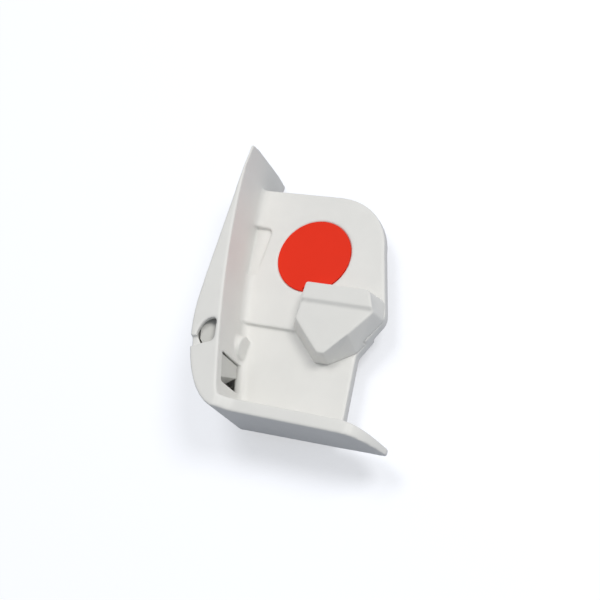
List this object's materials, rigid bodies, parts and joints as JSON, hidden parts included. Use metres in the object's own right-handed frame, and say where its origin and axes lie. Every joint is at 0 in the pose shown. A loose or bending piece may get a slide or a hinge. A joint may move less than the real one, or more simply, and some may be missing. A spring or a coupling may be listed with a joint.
{
  "type": "stair gate latch",
  "caption": "White moulded latch plate for a stair gate with a hollow side column, a bottom flange, a wedge catch block, a red indicator disc and a small sprung pawl.",
  "frame": {"origin": "under the middle of the latch's footprint, on the flat rear plane that it lies on", "axes": "+X across the plate from the column to the free side, +Y up the plate away from the flange, +Z out of the plate towards the gate"},
  "size_m": [0.0561, 0.0725, 0.0225],
  "materials": {
    "white_shell": "fine satin moulded white",
    "white_block": "satin moulded white, slightly smoother",
    "indicator_red": "smooth red",
    "pawl_nylon": "natural grey-white nylon",
    "steel": "zinc plated steel",
    "brass": "turned brass"
  },
  "bodies": {
    "latch_body": {"housing": "white_shell", "column_cover": "white_shell", "cover_screw": "steel", "catch_block": "white_block", "block_screw_left": "steel", "block_screw_right": "steel", "indicator_disc": "indicator_red", "indicator_push_nut": "steel", "pivot_pin": "steel", "return_spring": "steel", "threaded_insert_upper": "brass", "threaded_insert_lower": "brass"},
    "pawl": {"release_pawl": "pawl_nylon"}
  },
  "joints": [
    {"name": "pawl_pivot", "type": "hinge", "parent": "latch_body", "child": "pawl", "pos_m": [-0.02425, -0.0067, 0.0142], "axis": [0, 0, -1], "range_deg": [0, 4], "stiffness_Nm_per_rad": 0.02, "springref_deg": -5.73, "deforming": ["return_spring"]}
  ]
}
